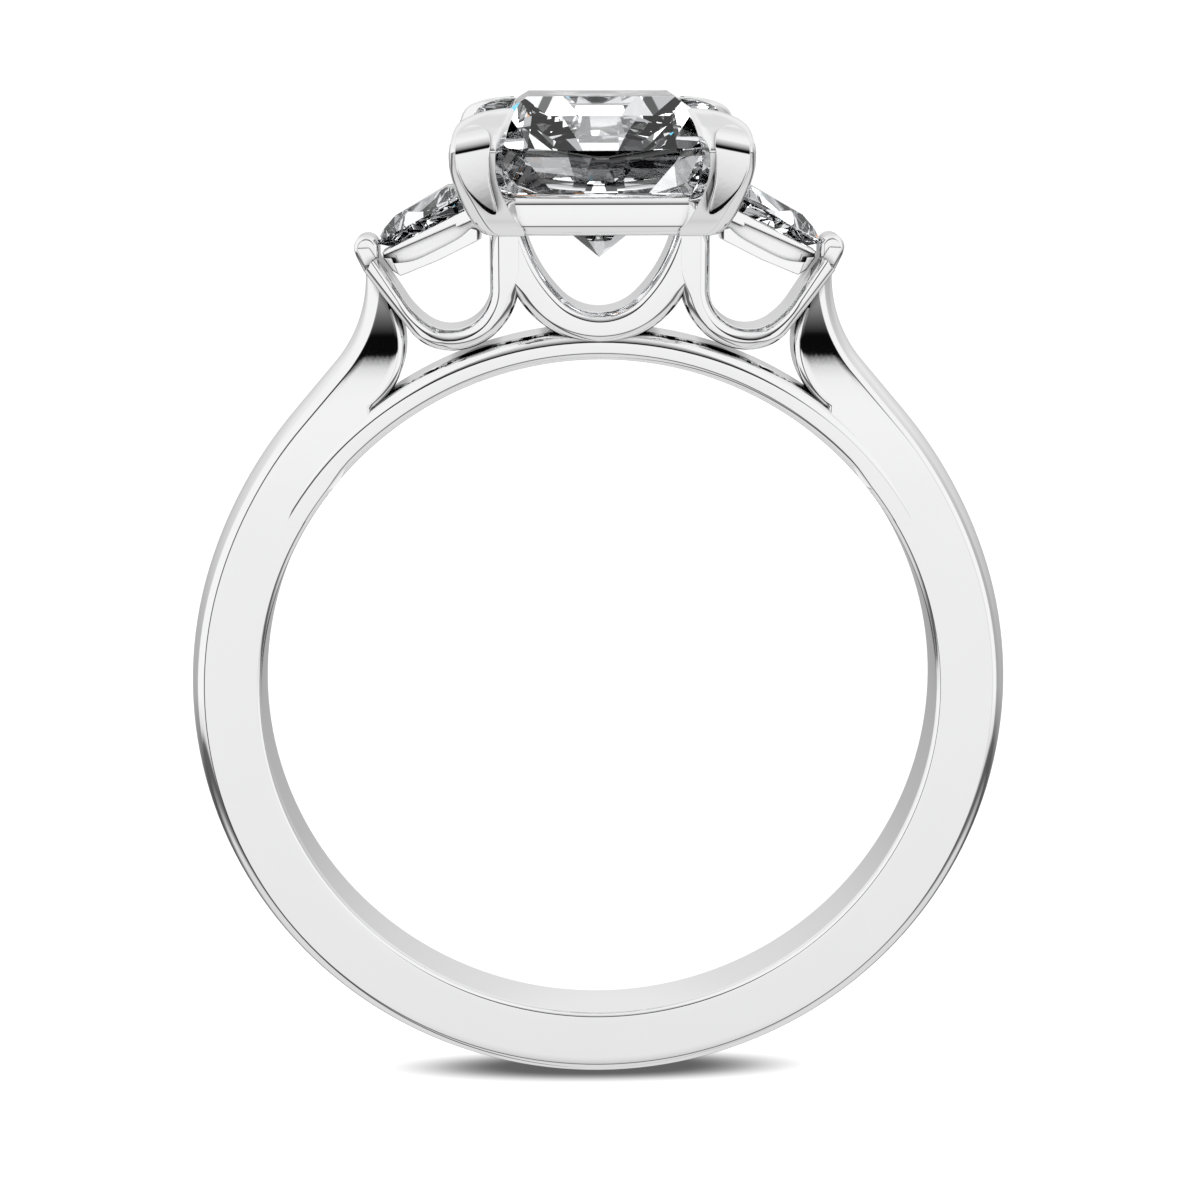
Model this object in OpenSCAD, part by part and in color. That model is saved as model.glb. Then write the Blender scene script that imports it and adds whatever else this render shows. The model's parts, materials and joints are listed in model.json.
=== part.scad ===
// Three-stone engagement ring, lying on its side, in millimetres.
// Everything is drawn upright in the ring's own frame first: X across the finger hole, Y up to the
// centre stone, Z along the finger. lay_down() then turns the ring onto the surface it rests on.

/* [Band] */
// Radius of the finger hole
bore_r = 8.65; // [8.2:0.05:9.2]
// Radius to the top of the band's domed outside
band_r = 10.5; // [10.3:0.05:10.7]
// Width of the band along the finger
band_w = 1.72; // [1.6:0.02:1.9]
// Radius of the dome across the outside of the band
dome_r = 1.45; // [1.3:0.05:2]
// Radius of the two outer edges of the band
outer_edge_r = 0.25; // [0.15:0.01:0.3]
// Radius of the two edges of the finger hole
inner_edge_r = 0.14; // [0.08:0.01:0.2]

/* [Shoulders] */
// Angle above the side of the ring where each shoulder leaves the round band
sweep_start = 18.5; // [15:0.5:22]
// Radius of the long outer sweep of each shoulder
sweep_r = 12; // [11.5:0.1:12.5]
// Slope in degrees of the straight rise that follows the sweep
rise_slope = 49.5; // [49:0.1:50]
// Length of the straight rise
rise_len = 1.66; // [1.6:0.01:1.72]
// Radius of the hollow lip that brings each shoulder upright
lip_r = 3.32; // [3.28:0.01:3.36]
// Depth of each shoulder's arm behind its outer outline
arm_t = 1.6; // [1.5:0.05:1.7]
// Height at which the shoulders begin to narrow
narrow_from = 3.9; // [3.7:0.1:4.1]
// Radius of the long narrowing curve, seen from the side
narrow_r = 63; // [58:1:70]
// Height at which the narrowing grows stronger
tip_from = 8.9; // [8.8:0.05:9]
// Radius of the stronger narrowing at the tips
tip_r = 13.4; // [12:0.2:16]

/* [Bridge and arches] */
// Outer radius of the bridge that closes the finger hole below the head
bridge_r = 9.45; // [9.42:0.01:9.48]
// Radius of the bridge's four edges
bridge_edge_r = 0.2; // [0.1:0.01:0.24]
// Width of the three arches along the finger
arch_w = 1.86; // [1.8:0.02:2]
// Height of the middle arch's lowest inner point
mid_arch_y = 9.88; // [9.85:0.01:9.92]
// Radius at the bottom of the middle arch
mid_arch_r = 1.3; // [1.25:0.01:1.35]
// Radius of the middle arch's flanks
mid_flank_r = 3.5; // [3.4:0.05:3.6]
// Thickness of the middle arch at its lowest point
mid_arch_t = 0.78; // [0.74:0.01:0.82]
// Outer radius of the middle arch
mid_outer_r = 2.38; // [2.34:0.01:2.42]
// Distance of each side arch's centre from the middle
side_arch_x = 3.72; // [3.7:0.01:3.75]
// Height of each side arch's centre
side_arch_y = 10.45; // [10.42:0.01:10.48]
// Inner radius of each side arch
side_arch_r = 1; // [0.98:0.01:1.02]
// Height of the lowest point of each side arch
foot_y = 8.92; // [8.9:0.01:8.94]
// Outer radius of a side arch's foot towards the middle
foot_in_r = 1.7; // [1.66:0.01:1.74]
// Outer radius of a side arch's foot towards the shoulder
foot_out_r = 1.25; // [1.22:0.01:1.28]
// Slope of each side arch's outer flank, in degrees
flank_slope = 57; // [56:0.5:58]

/* [Centre head] */
// Lower edge of the head's frame
frame_y0 = 11.95; // [11.9:0.01:12]
// Upper edge of the head's frame
frame_y1 = 12.93; // [12.88:0.01:12.96]
// Half the frame's outer size
frame_half = 2.9; // [2.85:0.01:2.95]
// Half the frame's inner size
frame_hole = 2.2; // [2.15:0.01:2.25]
// Corner radius of the four wide claws' cross-section
claw_round = 0.36; // [0.3:0.02:0.42]

// How much deeper than wide the centre stone and its claws are
deepen = 1.03; // [1:0.01:1.04]

/* [Centre stone] */
// Half the stone's width at its girdle
stone_half = 3.1; // [3.08:0.01:3.12]
// How far each corner of the girdle is cut off
stone_cut = 0.92; // [0.88:0.01:0.96]
// Height of the girdle's lower edge
girdle_y = 13.85; // [13.84:0.01:13.86]
// Height of the girdle's band
girdle_t = 0.14; // [0.12:0.01:0.16]
// Height of the table
table_y = 15.18; // [15.1:0.01:15.22]
// Height of the stone's point
culet_y = 11.16; // [11.1:0.01:11.25]

/* [Side stones] */
// Tilt of the side stones, in degrees
side_tilt = 29.3; // [29:0.1:29.6]
// Distance of each side stone's tip from the middle
tip_x = 5.5; // [5.48:0.01:5.52]
// Height of each side stone's tip
tip_y = 11.54; // [11.52:0.01:11.56]
// Length of a side stone from its tip
side_len = 2.7; // [2.6:0.05:2.75]
// Half the width of a side stone at its broad end
side_half = 1.5; // [1.4:0.05:1.55]
// Height of a side stone's crown
side_crown = 0.37; // [0.34:0.01:0.4]
// Depth of a side stone's pavilion
side_pav = 0.82; // [0.75:0.01:0.85]
// Space left between every stone and the metal
stone_gap = 0.03; // [0.02:0.005:0.04]

/* [Hidden] */
$fn = 96;

// Tiny step by which one member of the band stands proud of the next where they are joined
lap = 0.01;

// How the ring lies: turned about the finger hole's X so that the head's rear claws and the far edge
// of the band touch the surface together, then moved so that its box stands on the origin
lay_tilt = 6.883;
lay_y = -2.4536;
lay_z = 2.0625;

// Wide claw of the centre head, from its foot to its tip.
// Columns: height, near side and far side of its square section, measured from the head's middle.
CLAW_Y = 0;
CLAW_IN = 1;
CLAW_OUT = 2;
claw_table = [
    [11.94, 1.86, 2.56],
    [11.98, 1.76, 2.76],
    [12.12, 1.74, 2.94],
    [12.38, 1.90, 3.11],
    [12.70, 2.06, 3.28],
    [13.05, 2.26, 3.43],
    [13.45, 2.40, 3.56],
    [13.85, 2.43, 3.64],
    [14.20, 2.38, 3.60],
    [14.46, 2.30, 3.50],
    [14.66, 2.24, 3.36],
    [14.80, 2.22, 3.16],
    [14.88, 2.30, 2.92],
    [14.90, 2.45, 2.70]
];
// Columns: height, half size, how far the corners are cut, for the rings of the centre stone
CUT_Y = 0;
CUT_HALF = 1;
CUT_CORNER = 2;
crown_table = [
    [table_y, 1.75, 0.36],
    [14.74, 2.42, 0.42],
    [girdle_y + girdle_t, stone_half, stone_cut]
];

function at(r, a) = [r * cos(a), r * sin(a)];
function arc(c, r, a0, a1, n) = [for (i = [0:n]) c + at(r, a0 + (a1 - a0) * i / n)];
function flip(pts) = [for (i = [len(pts) - 1:-1:0]) [pts[i][0], -pts[i][1]]];
// Outward direction of an outline whose slope is t degrees
function out_of(t) = [sin(t), cos(t)];

// The shoulder's outline: an arc tangent to the band, a straight rise, and a hollow arc up to the tip
shoulder_p0 = at(band_r, sweep_start);
sweep_c = shoulder_p0 - sweep_r * out_of(90 - sweep_start);
shoulder_p1 = sweep_c + sweep_r * out_of(rise_slope);
shoulder_p2 = shoulder_p1 + rise_len * [-cos(rise_slope), sin(rise_slope)];
lip_c = shoulder_p2 + lip_r * out_of(rise_slope);

// Half the section of the band's outside, from the dome's top to the flat face, as [radius, width].
// grow is how far it stands out all round from the band's own section.
edge_z = band_w / 2 - outer_edge_r;
edge_s = sqrt(pow(dome_r - outer_edge_r, 2) - edge_z * edge_z);
edge_a = atan2(edge_z, edge_s);
function dome_half(top, grow) = concat(
    [for (i = [0:4]) [top - dome_r, 0] + at(dome_r + grow, edge_a * i / 4)],
    [for (i = [1:4]) [top - dome_r + edge_s, edge_z] + at(outer_edge_r + grow, edge_a + (90 - edge_a) * i / 4)]);
// The whole section, from radius inner to the dome's top at radius top
function band_section(inner, top, grow) = concat(
    flip(dome_half(top, grow)),
    [for (p = dome_half(top, grow)) if (p[1] > 0) p],
    [[inner, band_w / 2 + grow], [inner, -band_w / 2 - grow]]);
function mirrored_about(pts, r) = [for (i = [len(pts) - 1:-1:0]) [2 * r - pts[i][0], pts[i][1]]];
// Section of the bridge: its inner side runs into the finger hole, which cuts it clean
function bridge_section(r0, r1, w, q) = concat(
    arc([r1 - q, w / 2 - q], q, 0, 90, 4), [[r0, w / 2], [r0, -w / 2]], arc([r1 - q, q - w / 2], q, 270, 360, 4));
// Section of what the finger hole takes away, with its two rounded edges
function hole_section(r, w, q) = concat(
    [[0, -w], [r + q, -w]], arc([r + q, q - w / 2], q, 270, 180, 4),
    arc([r + q, w / 2 - q], q, 180, 90, 4), [[r + q, w], [0, w]]);

module both_sides() {
    children();
    mirror([1, 0, 0]) children();
}
// A revolved piece between two angles of the XY plane
module swept(a0, a1) {
    rotate([0, 0, a0]) rotate_extrude(angle = a1 - a0) children();
}
// A slab drawn in the XY plane, centred on it
module slab(w) {
    translate([0, 0, -w / 2]) linear_extrude(height = w) children();
}
// A slab drawn in plan, with X across and the finger's direction along Y, standing on height y0
module storey(y0, h) {
    translate([0, y0, 0]) rotate([-90, 0, 0]) linear_extrude(height = h) children();
}
module lay_down() {
    translate([0, lay_y, lay_z]) rotate([lay_tilt, 0, 0]) children();
}

module shank() {
    swept(178 - sweep_start, 362 + sweep_start) polygon(band_section(bore_r - 0.1, band_r, 0));
}

module hoop_top() {
    // the inner rim runs on below the shoulders and becomes the bridge
    swept(sweep_start - 3, 183 - sweep_start)
        polygon(bridge_section(bore_r - 0.2, bridge_r, band_w - 2 * lap, bridge_edge_r));
}

module finger_hole() {
    rotate_extrude() polygon(hole_section(bore_r, band_w, inner_edge_r));
}

// Half the width of a shoulder at height y
function shoulder_half(y) = band_w / 2 - (y < narrow_from ? 0 : pow(y - narrow_from, 2) / (2 * narrow_r))
    - (y < tip_from ? 0 : pow(y - tip_from, 2) / (2 * tip_r));

module shoulder_width() {
    ys = [for (i = [0:12]) narrow_from + (11.2 - narrow_from) * i / 12];
    side = concat([[0, band_w / 2 + 0.1], [narrow_from, band_w / 2]],
                  [for (i = [1:12]) [ys[i], shoulder_half(ys[i])]]);
    // drawn as height against width, then stood across the ring
    rotate([0, 90, 0]) rotate([0, 0, 90]) slab(24) polygon(concat(side, flip(side)));
}

// Centre and radius of the open window between a shoulder and its arch
window_c = [6.86, 9.05];
window_r = 2.02;
module shoulder_plan() {
    // keeps what lies outside the open window below the head
    slab(4) polygon(concat(
        [[12, 2.5], [12, 10.85], [5.42, 10.85], [5.0, 9.9]],
        arc(window_c, window_r, 156, 236, 12),
        [[8.6, 2.5]]));
}

module shoulder() {
    intersection() {
        union() {
            translate([sweep_c[0], sweep_c[1], 0]) swept(sweep_start, 90 - rise_slope)
                polygon(band_section(sweep_r - arm_t, sweep_r, lap));
            translate([shoulder_p1[0], shoulder_p1[1], 0]) rotate([0, 0, 90 - rise_slope]) rotate([-90, 0, 0])
                translate([0, 0, -0.08]) linear_extrude(height = rise_len + 0.16)
                    translate([-band_r, 0]) polygon(band_section(band_r - arm_t, band_r, 2 * lap));
            translate([lip_c[0], lip_c[1], 0]) swept(178, 270 - rise_slope)
                polygon(mirrored_about(band_section(lip_r - arm_t, lip_r, lap), lip_r));
        }
        shoulder_width();
        shoulder_plan();
    }
}

// Opening of the middle arch, from its lowest point up past the head
function mid_flank_c() = [0, mid_arch_y + mid_arch_r] + (mid_arch_r - mid_flank_r) * at(1, -45);
mid_opening = concat(
    arc([0, mid_arch_y + mid_arch_r], mid_arch_r, -90, -45, 6),
    [for (i = [1:5]) mid_flank_c() + at(mid_flank_r, -45 + 34 * i / 5)],
    [[1.96, 12.5]]);

// Opening of a side arch, drawn on the right
side_c = [side_arch_x, side_arch_y];
side_flank_c = side_c - at(side_arch_r, -55);
side_flank_end = side_flank_c + at(2 * side_arch_r, flank_slope - 90);
side_opening = concat(
    [[side_arch_x - side_arch_r, 12.5]],
    arc(side_c, side_arch_r, 180, 305, 14),
    [for (i = [1:4]) side_flank_c + at(2 * side_arch_r, -55 + (flank_slope - 35) * i / 4)],
    [side_flank_end + 1.2 * at(1, flank_slope), side_flank_end + [0.4, 2.4]]);

module arches() {
    difference() {
        union() {
            // middle arch
            slab(arch_w) intersection() {
                translate([0, mid_arch_y - mid_arch_t + mid_outer_r]) circle(r = mid_outer_r);
                translate([-3, 9]) square([6, 1.9]);
            }
            both_sides() {
                // round foot of each side arch, its outer flank, and the post up to the head
                slab(arch_w) intersection() {
                    translate([side_arch_x, foot_y + foot_in_r]) circle(r = foot_in_r);
                    translate([1.6, 8.6]) square([side_arch_x - 1.6, 2.1]);
                }
                slab(arch_w) intersection() {
                    translate([side_arch_x, foot_y + foot_out_r]) circle(r = foot_out_r);
                    translate([side_arch_x - 0.3, 8.6]) square([1.6, 1.6]);
                }
                slab(arch_w) polygon([[4.3, 9.4], [4.678, 9.367], [5.55, 10.53], [5.84, 10.84], [5.6, 11.2], [4.4, 10.2]]);
                slab(arch_w) translate([1.75, 10.2]) square([0.97, 1.9]);
            }
        }
        slab(3) polygon(concat(mid_opening, [for (i = [len(mid_opening) - 1:-1:0]) [-mid_opening[i][0], mid_opening[i][1]]]));
        both_sides() slab(3) polygon(side_opening);
    }
}

module outer_claw() {
    // the flank runs on upwards as the single claw at a side stone's tip
    slab(1.1) union() {
        translate([5.77, 11.45]) circle(r = 0.31);
        polygon([[5.46, 11.45], [5.46, 11.17], [5.2, 10.78], [5.45, 10.4], [5.84, 10.84], [6.06, 11.32], [6.08, 11.45]]);
    }
}

// Plan of a side stone in its own plane: tip at the origin, broad end at u = side_len
function side_plan(grow) = [
    [-grow, 0.16 + grow * 0.4],
    [side_len * 0.45, side_half * 0.60 + grow],
    [side_len * 0.80, side_half * 0.93 + grow],
    [side_len * 0.94 + grow * 0.6, side_half + grow * 0.7],
    [side_len + grow, side_half * 0.86 + grow * 0.4]];
function with_other_half(pts) = concat(pts, [for (i = [len(pts) - 1:-1:0]) [pts[i][0], -pts[i][1]]]);

module in_side_plane() {
    // local X runs up the slope towards the middle, local Z out of the table
    translate([tip_x, tip_y, 0]) rotate([0, 0, -side_tilt]) rotate([-90, 180, 0]) children();
}

module side_basket() {
    in_side_plane() difference() {
        // the wall around the stone, down to the basket's floor
        translate([0.12, 0, -0.96]) linear_extrude(height = 0.80)
            polygon([[-0.1, 0.45], [0.5, 0.62], [2.62, 1.62], [2.9, 1.62], [2.9, -1.62], [2.62, -1.62], [0.5, -0.62], [-0.1, -0.45]]);
        // shallow boat-shaped recess in each long wall
        for (s = [-1, 1]) translate([1.7, s * 1.22, -0.32]) rotate([0, 0, s * 25.2])
            rotate([90, 0, 0]) translate([0, 0, -0.12]) linear_extrude(height = 0.24)
                polygon([[-0.85, 0], [-0.8, -0.2], [-0.4, -0.33], [0, -0.37], [0.4, -0.33], [0.8, -0.2], [0.85, 0]]);
    }
}

function cut_square(half, cut) = [
    [half, half - cut], [half - cut, half], [cut - half, half], [-half, half - cut],
    [-half, cut - half], [cut - half, -half], [half - cut, -half], [half, cut - half]];

module head_frame() {
    storey(frame_y0, frame_y1 - frame_y0) difference() {
        polygon(cut_square(frame_half, 0.7));
        polygon(cut_square(frame_hole, 0.75));
    }
}

// One ring of a wide claw: a square with rounded corners between near and far
function claw_ring(row) = let (a = row[CLAW_IN], b = row[CLAW_OUT], q = min(claw_round, (b - a) / 2 - 0.01))
    concat(arc([b - q, b - q], q, 0, 90, 3), arc([a + q, b - q], q, 90, 180, 3),
           arc([a + q, a + q], q, 180, 270, 3), arc([b - q, a + q], q, 270, 360, 3));

module wide_claw() {
    n = 16;
    last = len(claw_table) - 1;
    pts = [for (row = claw_table) for (p = claw_ring(row)) [p[0], row[CLAW_Y], p[1]]];
    scale([1, 1, deepen]) polyhedron(points = pts, faces = concat(
        [[for (i = [n - 1:-1:0]) i]],
        [for (k = [0:last - 1]) for (i = [0:n - 1]) [k * n + i, k * n + (i + 1) % n, (k + 1) * n + i]],
        [for (k = [0:last - 1]) for (i = [0:n - 1])
            [k * n + (i + 1) % n, (k + 1) * n + (i + 1) % n, (k + 1) * n + i]],
        [[for (i = [0:n - 1]) last * n + i]]));
}

module ring_metal() {
    difference() {
        union() {
            shank();
            hoop_top();
            both_sides() {
                shoulder();
                side_basket();
                outer_claw();
                wide_claw();
                mirror([0, 0, 1]) wide_claw();
            }
            arches();
            head_frame();
        }
        finger_hole();
        centre_gem(stone_gap);
        both_sides() side_gem(stone_gap);
    }
}

// The centre stone: stepped crown, narrow girdle, and a pavilion of kite and triangular facets
function gem_ring(y, half, cut) = [for (p = cut_square(half, cut)) [p[0], y, p[1]]];
function gem_ring_mid(y, side, corner) = [
    [side, y, 0], [corner, y, corner], [0, y, side], [-corner, y, corner],
    [-side, y, 0], [-corner, y, -corner], [0, y, -side], [corner, y, -corner]];

module centre_gem(grow) {
    g = grow;
    pts = concat(
        gem_ring(crown_table[0][CUT_Y] + g, crown_table[0][CUT_HALF] + g * 0.4, crown_table[0][CUT_CORNER]),
        gem_ring(crown_table[1][CUT_Y] + g, crown_table[1][CUT_HALF] + g, crown_table[1][CUT_CORNER]),
        gem_ring(crown_table[2][CUT_Y] + g * 0.4, crown_table[2][CUT_HALF] + g, crown_table[2][CUT_CORNER]),
        gem_ring(girdle_y - g * 0.4, stone_half + g, stone_cut),
        gem_ring_mid(12.72 - g, 2.02 + g * 0.4, 1.42 + g * 0.3),
        [[0, culet_y - g, 0]]);
    scale([1, 1, deepen]) polyhedron(points = pts, faces = concat(
        [[for (i = [0:7]) i]],
        [for (k = [0:2]) for (i = [0:7]) [(k + 1) * 8 + i, (k + 1) * 8 + (i + 1) % 8, k * 8 + (i + 1) % 8, k * 8 + i]],
        // upper pavilion: one triangle under each girdle edge and one between neighbours
        [for (i = [0:7]) [32 + (i + 1) % 8, 24 + (i + 1) % 8, 24 + i]],
        [for (i = [0:7]) [32 + i, 32 + (i + 1) % 8, 24 + i]],
        [for (i = [0:7]) [40, 32 + (i + 1) % 8, 32 + i]]));
}

// A side stone: three-cornered, with its point outwards
module side_gem(grow) {
    g = grow;
    rim = with_other_half(side_plan(g));
    n = len(rim);
    mid = [1.55, 0];
    function toward(p, k) = [mid[0] + (p[0] - mid[0]) * k, mid[1] + (p[1] - mid[1]) * k];
    pts = concat(
        [for (p = rim) let (q = toward(p, 0.62)) [q[0], q[1], side_crown + g]],
        [for (p = rim) [p[0], p[1], 0.03 + g * 0.4]],
        [for (p = rim) [p[0], p[1], -0.03 - g * 0.4]],
        [for (p = rim) let (q = toward(p, 0.5)) [q[0], q[1], -side_pav * 0.62 - g]],
        [[mid[0], mid[1], -side_pav - g * 1.3]]);
    in_side_plane() polyhedron(points = pts, faces = concat(
        [[for (i = [0:n - 1]) i]],
        [for (k = [0:2]) for (i = [0:n - 1]) [(k + 1) * n + (i + 1) % n, k * n + (i + 1) % n, k * n + i]],
        [for (k = [0:2]) for (i = [0:n - 1]) [(k + 1) * n + i, (k + 1) * n + (i + 1) % n, k * n + i]],
        [for (i = [0:n - 1]) [4 * n, 3 * n + (i + 1) % n, 3 * n + i]]));
}

module ring_band_and_setting() color([0.86, 0.87, 0.88]) lay_down() ring_metal();
module centre_stone() color([0.94, 0.97, 1.0, 0.7]) lay_down() centre_gem(0);
module left_side_stone() color([0.92, 0.95, 0.98, 0.7]) lay_down() mirror([1, 0, 0]) side_gem(0);
module right_side_stone() color([0.92, 0.95, 0.98, 0.7]) lay_down() side_gem(0);

ring_band_and_setting();
centre_stone();
left_side_stone();
right_side_stone();
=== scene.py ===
import json
import math

import bmesh
import bpy
from mathutils import Matrix, Vector


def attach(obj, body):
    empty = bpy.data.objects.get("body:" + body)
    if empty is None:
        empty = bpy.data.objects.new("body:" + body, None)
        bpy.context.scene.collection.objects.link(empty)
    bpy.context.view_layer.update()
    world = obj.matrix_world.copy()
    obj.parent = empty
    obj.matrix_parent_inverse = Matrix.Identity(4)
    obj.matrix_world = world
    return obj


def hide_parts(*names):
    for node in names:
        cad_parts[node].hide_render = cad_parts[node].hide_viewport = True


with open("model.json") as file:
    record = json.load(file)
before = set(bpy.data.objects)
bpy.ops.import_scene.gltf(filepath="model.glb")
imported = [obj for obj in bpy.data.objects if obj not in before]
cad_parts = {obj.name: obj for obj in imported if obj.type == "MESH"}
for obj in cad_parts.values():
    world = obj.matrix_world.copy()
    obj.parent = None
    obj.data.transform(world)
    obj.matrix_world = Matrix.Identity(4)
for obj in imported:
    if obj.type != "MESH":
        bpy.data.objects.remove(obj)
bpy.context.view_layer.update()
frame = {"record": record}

bl_info = {
    "name": "Three-stone ring",
    "version": (1, 0, 0),
    "blender": (4, 5, 0),
    "location": "3D View > Sidebar > Ring",
    "description": "Builds a three-stone engagement ring, its polished metal, its stones and a plain stage",
    "category": "Mesh",
}

# The ring is modelled upright, in millimetres, from the middle of its finger hole: X across the hole, Y up to
# the centre stone and Z along the finger, out of its front. settle() scales it down and lays it on its side.
METAL = "ring_band_and_setting"
BORE = frame["record"]["mounts"][0]
LEAN = math.atan2(-BORE["axis"][1], BORE["axis"][2])
LAY = Matrix.Translation(BORE["pos_m"]) @ Matrix.Rotation(LEAN, 4, "X")
MM = 0.001
LAP = 0.005  # one soldered member stands this much proud of the next, so that no two faces coincide
SQUARE = 0.004  # edge radius of a member where it runs into another, as good as square
HOLE_CENTRE = (0.0, 0.0)
ACROSS, UP, ALONG = (1, 0, 0), (0, 1, 0), (0, 0, 1)


# ---------------------------------------------------------------- sizes

def length(name, description, default):
    """A size that the sidebar shows as a length. Its default is given in millimetres."""
    return bpy.props.FloatProperty(name=name, description=description, default=default * MM, unit="LENGTH",
                                   precision=5)


class BandSizes(bpy.types.PropertyGroup):
    hole_radius: length("Finger hole radius", "Radius of the finger hole", BORE["dims"]["r_mm"])
    outside_radius: length("Outside radius", "Radius to the top of the band's dome", 10.498)
    half_width: length("Half width", "Half the band's width along the finger", 0.86)
    dome_radius: length("Dome radius", "Radius of the dome across the band's outside", 1.45)
    edge_radius: length("Outer edge radius", "Radius of the band's two outer edges", 0.25)
    hole_edge_radius: length("Hole edge radius", "Radius of the finger hole's two edges", 0.14)


class GallerySizes(bpy.types.PropertyGroup):
    half_width: length("Half width", "Half the width of the arches along the finger", 0.93)
    edge_radius: length("Edge radius", "Radius of the arches' edges", 0.2)


class HeadSizes(bpy.types.PropertyGroup):
    frame_half: length("Frame half size", "Half the outer size of the frame below the stone", 2.9)
    deepen: bpy.props.FloatProperty(
        name="Deepening", description="How much deeper than wide the head is", default=1.03)


class StoneSizes(bpy.types.PropertyGroup):
    half: length("Half width", "Half the centre stone's width at its girdle", 3.1)
    table_height: length("Table height", "Height of the centre stone's table above the finger hole's centre", 15.179)
    point_height: length("Point height", "Height of the centre stone's point above the finger hole's centre", 11.16)


class RingFinish(bpy.types.PropertyGroup):
    metal: bpy.props.FloatVectorProperty(
        name="Metal", description="Colour of the polished white metal", subtype="COLOR", size=4,
        min=0.0, max=1.0, default=(0.93, 0.93, 0.935, 1.0))
    floor: bpy.props.FloatVectorProperty(
        name="Floor", description="Colour of the floor", subtype="COLOR", size=4,
        min=0.0, max=1.0, default=(0.15, 0.15, 0.15, 1.0))


def sizes(name):
    """The sizes of one group, in millimetres where they are lengths."""
    group = getattr(bpy.context.scene, name)
    return {k: getattr(group, k) / (MM if p.unit == "LENGTH" else 1)
            for k, p in group.bl_rna.properties.items() if p.type == "FLOAT" and not p.is_array}


# ---------------------------------------------------------------- drawing aids

def clipped(value):
    """A value kept between 0 and 1."""
    return min(max(value, 0.0), 1.0)


def eased(share):
    """A share from 0 to 1 that starts and ends gently."""
    share = clipped(share)
    return share * share * (3 - 2 * share)


def denser(share, even):
    """A share from 0 to 1, with steps closer together towards both ends; even is the part with equal steps."""
    return even * share + (1 - even) / 2 * (1 - math.cos(math.pi * share))


def polar(radius, angle, centre=HOLE_CENTRE):
    a = math.radians(angle)
    return Vector((centre[0] + radius * math.cos(a), centre[1] + radius * math.sin(a)))


def arc(centre, radius, start, end, steps):
    return [polar(radius, start + (end - start) * i / steps, centre) for i in range(steps + 1)]


def line(start, end, steps):
    a, b = Vector(start), Vector(end)
    return [a.lerp(b, i / steps) for i in range(steps + 1)]


def joined(*paths):
    """One path from several, each starting where the last ended."""
    points = list(paths[0])
    for path in paths[1:]:
        points += path if (Vector(path[0]) - points[-1]).length > 1e-4 else path[1:]
    return points


def evenly(points, count):
    """The same path with its points evenly spaced."""
    lengths = [0.0]
    for a, b in zip(points, points[1:]):
        lengths.append(lengths[-1] + (b - a).length)
    out, k = [], 0
    for i in range(count):
        want = lengths[-1] * i / (count - 1)
        while k < len(points) - 2 and lengths[k + 1] < want:
            k += 1
        span = lengths[k + 1] - lengths[k]
        out.append(points[k].lerp(points[k + 1], (want - lengths[k]) / span if span else 0.0))
    return out


def smooth_path(points, steps, closed=False):
    """A smooth curve through a few points."""
    pts = [Vector(p) for p in points]
    n, out = len(pts), []
    for i in range(n if closed else n - 1):
        if closed:
            a, b, c, d = (pts[(i + k) % n] for k in (-1, 0, 1, 2))
        else:
            b, c = pts[i], pts[i + 1]
            a = pts[i - 1] if i else b * 2 - c
            d = pts[i + 2] if i + 2 < n else c * 2 - b
        for s in range(steps):
            t = s / steps
            out.append(0.5 * (2 * b + (c - a) * t + (2 * a - 5 * b + 4 * c - d) * t * t
                              + (3 * b - a - 3 * c + d) * t ** 3))
    return out if closed else out + [pts[-1]]


def round_profile(half, radius, steps=6):
    """Half of a flat edge with a rounded corner, as (inset, depth) from its middle to its face."""
    turns = [math.radians(90 * i / steps) for i in range(steps + 1)]
    return [(0.0, 0.0)] + [(radius * (1 - math.cos(a)), half - radius + radius * math.sin(a)) for a in turns]


def dome_profile(half, dome, edge, steps=6):
    """Half of the band's domed outside, as (inset, depth) from its top to its face."""
    z = half - edge
    s = math.sqrt((dome - edge) ** 2 - z * z)
    split = math.atan2(z, s)
    turns = [split * i / steps for i in range(steps + 1)]
    out = [(dome - dome * math.cos(a), dome * math.sin(a)) for a in turns]
    turns = [split + (math.pi / 2 - split) * i / steps for i in range(1, steps + 1)]
    return out + [(dome - s - edge * math.cos(a), z + edge * math.sin(a)) for a in turns]


def away_from(path, other, closed):
    """Directions square to a path, pointing away from the other path."""
    out, n = [], len(path)
    for i in range(n):
        a = path[(i - 1) % n if closed else max(i - 1, 0)]
        b = path[(i + 1) % n if closed else min(i + 1, n - 1)]
        t = (b - a).normalized()
        side = Vector((t.y, -t.x))
        out.append(side if side.dot(path[i] - other[i]) > 0 else -side)
    return out


# ---------------------------------------------------------------- modelling

def clear_selection():
    if bpy.context.mode != "OBJECT":
        bpy.ops.object.mode_set(mode="OBJECT")
    bpy.ops.object.select_all(action="DESELECT")
    bpy.context.view_layer.objects.active = None


def make_active(obj):
    clear_selection()
    obj.select_set(True)
    bpy.context.view_layer.objects.active = obj


def apply_modifiers(obj):
    make_active(obj)
    for name in [m.name for m in obj.modifiers]:
        bpy.ops.object.modifier_apply(modifier=name)


def just_added(name):
    """The object that was added last, with its name."""
    obj = bpy.context.active_object
    obj.name = obj.data.name = name
    return obj


def face_outwards():
    """Turns every face of the mesh being edited outwards, and leaves edit mode."""
    bpy.ops.mesh.select_all(action="SELECT")
    bpy.ops.mesh.normals_make_consistent(inside=False)
    bpy.ops.object.mode_set(mode="OBJECT")


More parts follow.
